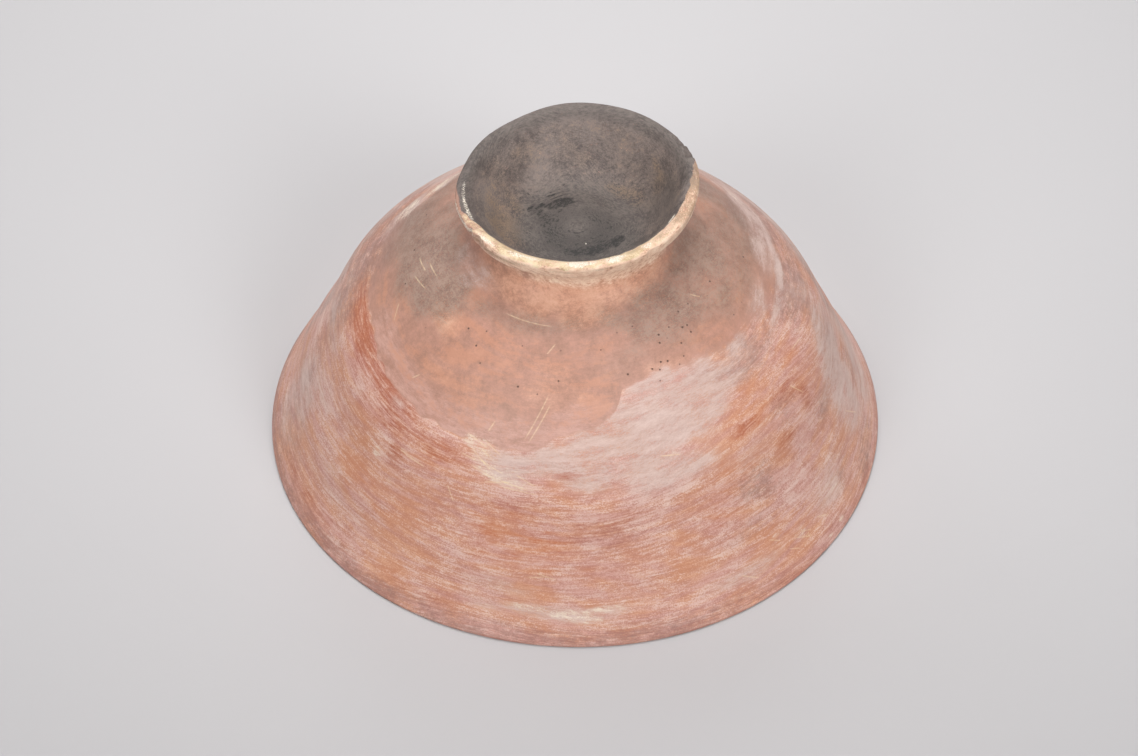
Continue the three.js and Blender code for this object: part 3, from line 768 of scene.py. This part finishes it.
# The rows of each piece, along its skin and over its hidden faces
coarse, fine, footStep = bowl["insideStep"], bowl["rowStep"], foot["rowStep"]
rimInner, rimOuter = bowl["rimSpan"]
seatOuter, seatInner = outerEdge - foot["seatInset"], innerEdge + foot["seatInset"]
neck, throat = foot["neckRadius"] - foot["faceInset"], collarInside + foot["faceInset"]
pieceRows = {
    "rim_coil": [
        skinRows(innerJoints[0], rimInner - bowl["rimGap"], coarse),
        skinRows(rimInner, rimOuter, bowl["rimStep"]),
        skinRows(rimOuter + bowl["rimGap"], outerJoints[0], fine),
    ],
    "base_dish": [
        skinRows(along[0], innerJoints[-1], coarse),
        skinRows(outerJoints[-1], outerFillet, fine),
        seatRows(seatOuter, seatInner),
        skinRows(innerFillet, along[-1], footStep),
    ],
    "outer_luting_fillet": [skinRows(outerFillet, neckLow, footStep), seatRows(neck, seatOuter)],
    "inner_luting_fillet": [seatRows(seatInner, throat), skinRows(throatLow, innerFillet, footStep)],
    "foot_collar": [
        seatRows(throat, neck),
        skinRows(neckLow, neckHigh, footStep),
        skinRows(throatHigh, throatLow, footStep),
    ],
    "foot_flare": [skinRows(neckHigh, lipLow, footStep), skinRows(lipHigh, throatHigh, footStep)],
    "foot_lip": [skinRows(lipLow, lipHigh, foot["lipStep"])],
}
for k in range(bowl["wallCoils"]):
    pieceRows[f"wall_coil_{bowl['wallCoils'] - k}"] = [
        skinRows(outerJoints[k], outerJoints[k + 1], fine),
        skinRows(innerJoints[k + 1], innerJoints[k], coarse),
    ]


def linear(code, alpha=1):
    # sRGB hex to linear light.
    c = np.array([int(code[k:k + 2], 16) for k in (0, 2, 4)]) / 255
    return (*np.where(c <= 0.04045, c / 12.92, ((c + 0.055) / 1.055)**2.4), alpha)


def addNode(tree, kind, inputs, **settings):
    # Adds a node with these settings. An input that is another node's output is linked, any other is set.
    node = tree.nodes.new("ShaderNode" + kind)
    for name, value in settings.items():
        setattr(node, name, value)
    for key, value in inputs.items():
        if isinstance(value, bpy.types.NodeSocket):
            tree.links.new(value, node.inputs[key])
        else:
            node.inputs[key].default_value = value
    return node


# Red-slipped earthenware: low-fired buff clay under a thin red slip, wiped on in rings and rubbed with a
# pebble. It looks streaky and softly satin on the wall, and smoother round the foot.
# Patterns in it: the coordinates they follow, the size of their features in mm, which for streaks is across
# them, and the noise's detail and roughness.
patterns = {
    "clouds": ("object", 26, 5, 0.55),  # uneven fire
    "mottle": ("object", 7, 7, 0.9),  # clay and slip that took it unevenly, down to the grit
    "flecks": ("object", 0.5, 2, 0.6),  # grit of 0.2 mm, drawn coarser to show
    "wiped": ("grain", 4.5, 6, 1),  # passes of the wiping hand
    "rubbed": ("grain", 3.4, 6, 1),  # passes of the pebble
    "wipes": ("long", 0.8, 3, 0.75),  # threads of the wiping cloth, 0.3 mm, drawn coarser to show
    "bands": ("brush", 3.4, 5, 0.6),  # laps of slip
    "strokes": ("brush", 0.7, 4, 0.62),  # hairs of the brush, 0.2 mm, drawn coarser to show
}
longer = 5  # the wipes are stretched this much more round the pot than the rest of the grain
thinSlip = {
    "tones": ("cd9b8d", "d6a284"),
    "tonedBy": {"clouds": 3, "bands": 4},
    "rough": 0.55,
    "relief": 0.05,  # mm
}
# What lies on the thin slip, in the order it came: two tones and the patterns that mix them, the patterns
# that break it up, with weights, the values where it starts and is full, its most, and its roughness.
coats = {
    "wall": dict(  # red slip as it was wiped on
        tones=("9d5548", "b5653f"), tonedBy={"clouds": 3, "bands": 3},
        brokenBy={"wiped": 6, "wipes": 2.8, "mottle": 2, "clouds": 2.5, "bands": 1.5, "flecks": 3},
        start=0.25, full=1.85, most=0.52, rough=0.5),
    "haze": dict(  # slip rubbed thin and pale between the wipes
        tones=("d6b2a6", "e6ccc0"), tonedBy={"bands": 3},
        brokenBy={"rubbed": 6, "wipes": -2.8, "mottle": -1.5, "clouds": -2.5, "flecks": -3},
        start=0.72, full=2.2, most=0.85, rough=0.65),
    "mauve": dict(  # slip that the fire greyed
        tones=("9c5d52", "be867a"), tonedBy={"rubbed": 5},
        brokenBy={"wiped": 5, "wipes": 2.5, "bands": 2},
        start=0.1, full=1.7, most=0.65, rough=0.55),
    "orange": dict(  # slip that the fire reached most
        tones=("bb6238", "d2916a"), tonedBy={"rubbed": 5},
        brokenBy={"bands": 4, "wiped": 4, "wipes": 2.5},
        start=0.1, full=1.6, most=0.65, rough=0.55),
    "fresh": dict(  # thick slip, well rubbed
        tones=("9c4f36", "bd7453"), tonedBy={"rubbed": 4},
        brokenBy={"wiped": 5, "wipes": 3.5, "bands": 2},
        start=0, full=1.1, most=0.8, rough=0.45),
    "baseZone": dict(  # slip rubbed smooth round the foot
        tones=("a57c6a", "c39280"), tonedBy={"mottle": 3.5, "strokes": 0.8},
        brokenBy={"mottle": 0.08, "strokes": 0.06},
        start=0.49, full=0.51, most=1, rough=0.45),
    "bloom": dict(  # paler lap inside its edge
        tones=("c2968a", "d3a89a"), tonedBy={"wiped": 5},
        brokenBy={"bands": 3, "wiped": 4},
        start=0.2, full=1.4, most=0.7, rough=0.55),
    "warmth": dict(  # warmer laps in it
        tones=("c28468", "cd977a"), tonedBy={"mottle": 2},
        brokenBy={"bands": 5, "mottle": 5, "clouds": 3},
        start=0.7, full=1.9, most=0.55, rough=0.45),
    "blush": dict(  # salmon slip by the foot, and painted light in the shade under the foot's lip at the front
        tones=("d19170", "e6b69a"), tonedBy={"mottle": 3, "strokes": 1},
        brokenBy={"strokes": 1, "mottle": 3},
        start=0.05, full=1.2, most=0.85, rough=0.5),
    "smudge": dict(  # grey that was rubbed in by hands, and painted shade along the pot's outline
        tones=("86645a", "a8857b"), tonedBy={"strokes": 2},
        brokenBy={"mottle": 4, "wiped": 4},
        start=0.05, full=1.2, most=0.75, rough=0.6),
    "smoke": dict(  # fire clouds, and painted shade along the pot's outline
        tones=("705c52", "9f887a"), tonedBy={"mottle": 6, "strokes": 3, "flecks": 3},
        brokenBy={"bands": 1, "mottle": 2, "strokes": 2, "flecks": 3},
        start=0, full=1.1, most=0.85, rough=0.5),
    "lime": dict(  # pale film of lime from water, and painted sheen along the pot's outline
        tones=("b99c92", "d4bcb3"), tonedBy={"rubbed": 3, "bands": 2},
        brokenBy={"rubbed": 2.5, "bands": 2.5, "wiped": -2, "mottle": 1.5, "flecks": 1.5},
        start=0, full=1.1, most=0.88, rough=0.75),
    "scuff": dict(  # scuffs down to pale clay
        tones=("d8c2ae", "f0e2cf"), tonedBy={"rubbed": 4},
        brokenBy={"strokes": 5, "wiped": 6, "mottle": 4, "flecks": 4},
        start=0.35, full=1.3, most=0.8, rough=0.8),
    "buff": dict(  # bare clay of the foot, painted paler to lift the shade under its lip
        tones=("dbb094", "f6dcc3"), tonedBy={"mottle": 4, "strokes": 2},
        brokenBy={"mottle": 3, "strokes": 3},
        start=0.05, full=0.8, most=0.95, rough=0.75),
    "cream": dict(  # worn, paler clay on the foot's lip
        tones=("ba9b74", "e3cfac"), tonedBy={"mottle": 6, "flecks": 2},
        brokenBy={"mottle": 6, "flecks": 4, "bands": 4},
        start=0.35, full=0.9, most=0.92, rough=0.85),
    "stain": dict(  # brown stains on it
        tones=("7d6552", "ac8a6c"), tonedBy={"flecks": 4},
        brokenBy={"mottle": 5, "flecks": 3},
        start=0.1, full=1, most=0.8, rough=0.75),
    "soot": dict(  # soot in the foot
        tones=("584e4a", "867973"), tonedBy={"mottle": 3.5, "clouds": 2.2, "strokes": 1.5, "flecks": 1.5},
        brokenBy={"flecks": 2, "bands": 1},
        start=0.3, full=0.7, most=1, rough=0.65),
    "rust": dict(  # browner soot
        tones=("85684e", "a98b6a"), tonedBy={"flecks": 3},
        brokenBy={"mottle": 7, "strokes": 3, "flecks": 3},
        start=0.25, full=1.4, most=0.65, rough=0.7),
    "deepSoot": dict(  # thicker soot, and painted shade on the hollow's floor and front
        tones=("453e3a", "6b615b"), tonedBy={"mottle": 4, "strokes": 3},
        brokenBy={"mottle": 3},
        start=0, full=1, most=1, rough=0.6),
    "char": dict(  # burnt spots
        tones=("131110", "2e2926"), tonedBy={"flecks": 3},
        brokenBy={"mottle": 4, "strokes": 5, "flecks": 2},
        start=0.22, full=0.9, most=0.95, rough=0.6),
    "chalk": dict(  # chalky crumbs on the lip, and painted highlights on its front crest
        tones=("dccab2", "f0e8da"), tonedBy={"flecks": 3},
        brokenBy={"mottle": 4, "flecks": 4},
        start=0.15, full=0.8, most=0.95, rough=0.9),
}
# Pits that burnt-out grains left in the base zone, in the middles of some of a pattern's cells
pits = {
    "apart": 3.2,  # mm
    "radius": 0.5,  # mm
    "chosen": (0.95, 1.05),  # a cell has one where its lot and the field come to this
    "depth": 4,  # times the relief
    "colour": "5f463b",
}


def swung(tree, middle, noise, weights):
    # A value plus each pattern's swing about its mean of a half, times its weight.
    value = middle - 0.5 * sum(weights.values())
    for name, weight in weights.items():
        inputs = {0: noise[name], 1: weight, 2: value}
        value = addNode(tree, "Math", inputs, operation="MULTIPLY_ADD").outputs[0]
    return value


def redSlippedEarthenware():
    # Each coat is mixed over those before it, by its field times one plus its patterns' swings. A Mix node's
    # inputs go by number: 0 is the share, 2 and 3 are values, 6 and 7 colours. Its output 2 is a colour.
    material = bpy.data.materials.new("redSlippedEarthenware")
    material.use_nodes = True
    tree = material.node_tree
    lies = {kind: addNode(tree, "Attribute", {}, attribute_name=kind).outputs["Vector"] for kind in lay}
    lies["object"] = addNode(tree, "TexCoord", {}).outputs["Object"]
    stretch = {0: lies["grain"], 1: (1 / longer, 1 / longer, 1)}
    lies["long"] = addNode(tree, "VectorMath", stretch, operation="MULTIPLY").outputs[0]
    noise = {}
    for name, (lie, size, detail, rough) in patterns.items():
        inputs = {"Vector": lies[lie], "Scale": 1 / (size * mm), "Detail": detail, "Roughness": rough}
        noise[name] = addNode(tree, "TexNoise", inputs).outputs[0]
    first, second = (linear(code) for code in thinSlip["tones"])
    shade = swung(tree, 0.5, noise, thinSlip["tonedBy"])
    colour = addNode(tree, "Mix", {0: shade, 6: first, 7: second}, data_type="RGBA").outputs[2]
    rough = thinSlip["rough"]
    for name, coat in coats.items():
        field = addNode(tree, "Attribute", {}, attribute_name=name).outputs["Fac"]
        broken = swung(tree, 1, noise, coat["brokenBy"])
        here = addNode(tree, "Math", {0: field, 1: broken}, operation="MULTIPLY").outputs[0]
        limits = {"Value": here, "From Min": coat["start"], "From Max": coat["full"], "To Max": coat["most"]}
        amount = addNode(tree, "MapRange", limits, interpolation_type="SMOOTHSTEP").outputs[0]
        first, second = (linear(code) for code in coat["tones"])
        shade = swung(tree, 0.5, noise, coat["tonedBy"])
        paint = addNode(tree, "Mix", {0: shade, 6: first, 7: second}, data_type="RGBA").outputs[2]
        colour = addNode(tree, "Mix", {0: amount, 6: colour, 7: paint}, data_type="RGBA").outputs[2]
        rough = addNode(tree, "Mix", {0: amount, 2: rough, 3: coat["rough"]}).outputs[0]
    # Pits: round spots about the middles of some of the cells
    cells = addNode(tree, "TexVoronoi", {"Vector": lies["object"], "Scale": 1 / (pits["apart"] * mm)})
    size = pits["radius"] / pits["apart"]
    off = cells.outputs["Distance"]
    spot = addNode(tree, "MapRange", {"Value": off, "From Min": size, "From Max": size / 2})
    field = addNode(tree, "Attribute", {}, attribute_name="pits").outputs["Fac"]
    lot = addNode(tree, "Math", {0: cells.outputs["Color"], 1: field}, operation="ADD").outputs[0]
    least, sure = pits["chosen"]
    chosen = addNode(tree, "MapRange", {"Value": lot, "From Min": least, "From Max": sure}).outputs[0]
    pitted = addNode(tree, "Math", {0: spot.outputs[0], 1: chosen}, operation="MULTIPLY").outputs[0]
    burnt = linear(pits["colour"])
    colour = addNode(tree, "Mix", {0: pitted, 6: colour, 7: burnt}, data_type="RGBA").outputs[2]
    # Scratches: a line where a point is within its width, for all the sets at once. A Map Range's inputs 7
    # to 10 are its limits for vectors.
    aside = addNode(tree, "Attribute", {}, attribute_name="scratchAside").outputs["Vector"]
    close = addNode(tree, "Attribute", {}, attribute_name="scratchClose").outputs["Vector"]
    away = addNode(tree, "VectorMath", {0: aside}, operation="ABSOLUTE").outputs[0]
    outer, inner = (share * scratched["width"] for share in scratched["flank"])
    limits = {"Vector": away, 7: (outer,) * 3, 8: (inner,) * 3, 9: (0, 0, 0), 10: (1, 1, 1)}
    lines = addNode(tree, "MapRange", limits, data_type="FLOAT_VECTOR").outputs["Vector"]
    drawn = addNode(tree, "VectorMath", {0: lines, 1: close}, operation="DOT_PRODUCT").outputs["Value"]
    low, high = scratched["breaks"]
    faint = {"Value": noise["strokes"], "From Min": low, "From Max": high}
    faint.update({"To Min": scratched["least"], "To Max": scratched["most"]})
    strength = addNode(tree, "MapRange", faint).outputs[0]
    drawn = addNode(tree, "Math", {0: drawn, 1: strength}, operation="MULTIPLY", use_clamp=True).outputs[0]
    bared = linear(scratched["colour"])
    colour = addNode(tree, "Mix", {0: drawn, 6: colour, 7: bared}, data_type="RGBA").outputs[2]
    rough = addNode(tree, "Mix", {0: drawn, 2: rough, 3: scratched["rough"]}).outputs[0]
    # Relief: the wiping and the grit, less the pits
    height = addNode(tree, "Math", {0: noise["wiped"], 1: noise["mottle"]}, operation="ADD").outputs[0]
    sunk = {0: pitted, 1: -pits["depth"], 2: height}
    height = addNode(tree, "Math", sunk, operation="MULTIPLY_ADD").outputs[0]
    bump = addNode(tree, "Bump", {"Height": height, "Distance": thinSlip["relief"] * mm}).outputs[0]
    shader = tree.nodes["Principled BSDF"]
    for socket, value in {"Base Color": colour, "Roughness": rough, "Normal": bump}.items():
        tree.links.new(value, shader.inputs[socket])
    return material


earthenware = redSlippedEarthenware()
print("material:", earthenware.name, "with", len(earthenware.node_tree.nodes), "nodes")
for node, rows in pieceRows.items():
    piece = bpy.data.objects.new(node + "_clay", meshOfRings(node, rows, node == "base_dish"))
    piece.data.materials.append(earthenware)
    bpy.context.scene.collection.objects.link(piece)
    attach(piece, "root")
    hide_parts(node)
print("pieces:", len(pieceRows))

# The studio: a pale paper sheet as the floor, lights in front on both sides, one overhead and three behind.
# Each light has its place and the point it looks at in metres, size, spread in degrees, and power.
studio = {
    "floorSize": 6,
    "floorColour": "bfbdbe",
    "floorRough": 0.9,
    "skyColour": "f4f3f6",
    "sky": 0.18,
    "lights": {
        "frontLeft": ((-0.9, -1.2, 1.2), (0, 0.15, 0.05), 0.8, 60, 1.65),
        "frontRight": ((0.9, -1.2, 1.2), (0, 0.15, 0.05), 0.8, 60, 2.26),
        "overhead": ((0, 0.2, 1.4), (0, 0.2, 0), 0.6, 60, 1.52),
        "farBack": ((0, 1.8, 1.2), (0, 0, 0), 1.2, 180, 10.2),
        "backLeft": ((-1.2, 1.2, 1.2), (0, 0, 0), 0.9, 180, 5.6),
        "backRight": ((1.2, 1.2, 1.2), (0, 0, 0), 0.9, 180, 2.25),
    },
}


def softbox(name, place, target, size, spread, watts):
    # A square area light that looks at a point.
    light = bpy.data.lights.new(name, "AREA")
    light.shape = "SQUARE"
    light.size = size
    light.spread = np.radians(spread)
    light.energy = watts
    box = bpy.data.objects.new(name, light)
    box.location = place
    box.rotation_euler = (Vector(target) - Vector(place)).to_track_quat("-Z", "Y").to_euler()
    bpy.context.scene.collection.objects.link(box)


for name, settings in studio["lights"].items():
    softbox(name + "Softbox", *settings)

# Pale studio paper: a flat sheet, uncoated and matt, so it only takes soft shadows
half = studio["floorSize"] / 2
floorMesh = bpy.data.meshes.new("paperSheet")
corners = [(-half, -half, 0), (half, -half, 0), (half, half, 0), (-half, half, 0)]
floorMesh.from_pydata(corners, [], [(0, 1, 2, 3)])
paper = bpy.data.materials.new("paleStudioPaper")
paper.use_nodes = True
sheet = paper.node_tree.nodes["Principled BSDF"]
sheet.inputs["Base Color"].default_value = linear(studio["floorColour"])
sheet.inputs["Roughness"].default_value = studio["floorRough"]
floorMesh.materials.append(paper)
floor = bpy.data.objects.new("paperSheet", floorMesh)
bpy.context.scene.collection.objects.link(floor)

world = bpy.data.worlds.new("studioAir")
world.use_nodes = True
sky = world.node_tree.nodes["Background"]
sky.inputs["Color"].default_value = linear(studio["skyColour"])
sky.inputs["Strength"].default_value = studio["sky"]
bpy.context.scene.world = world
bpy.context.scene.view_settings.view_transform = "Standard"
print("studio:", len(studio["lights"]), "lights")

# The camera, fitted to the photograph's outline of the rim, the wall and the foot
view = {
    "imageWidth": 1138,  # pixels
    "focalPixels": 3300,
    "axisPixel": 575.98,  # the pot's axis stands this far from the left edge
    "distance": 895.8,  # in front of the pot's axis, mm
    "height": 970.1,
    "pitch": 46.66,  # degrees below level
    "sensor": 36,  # mm
    "nearest": 0.05,  # metres
}
lens = bpy.data.cameras.new("photoCamera")
lens.sensor_width = view["sensor"]
lens.lens = view["focalPixels"] / view["imageWidth"] * lens.sensor_width
lens.shift_x = (view["imageWidth"] / 2 - view["axisPixel"]) / view["imageWidth"]
lens.clip_start = view["nearest"]
camera = bpy.data.objects.new("photoCamera", lens)
camera.location = (0, -view["distance"] * mm, view["height"] * mm)
camera.rotation_euler = (np.radians(90 - view["pitch"]), 0, 0)
bpy.context.scene.collection.objects.link(camera)
bpy.context.scene.camera = camera
print("camera:", round(lens.lens, 1), "mm lens")
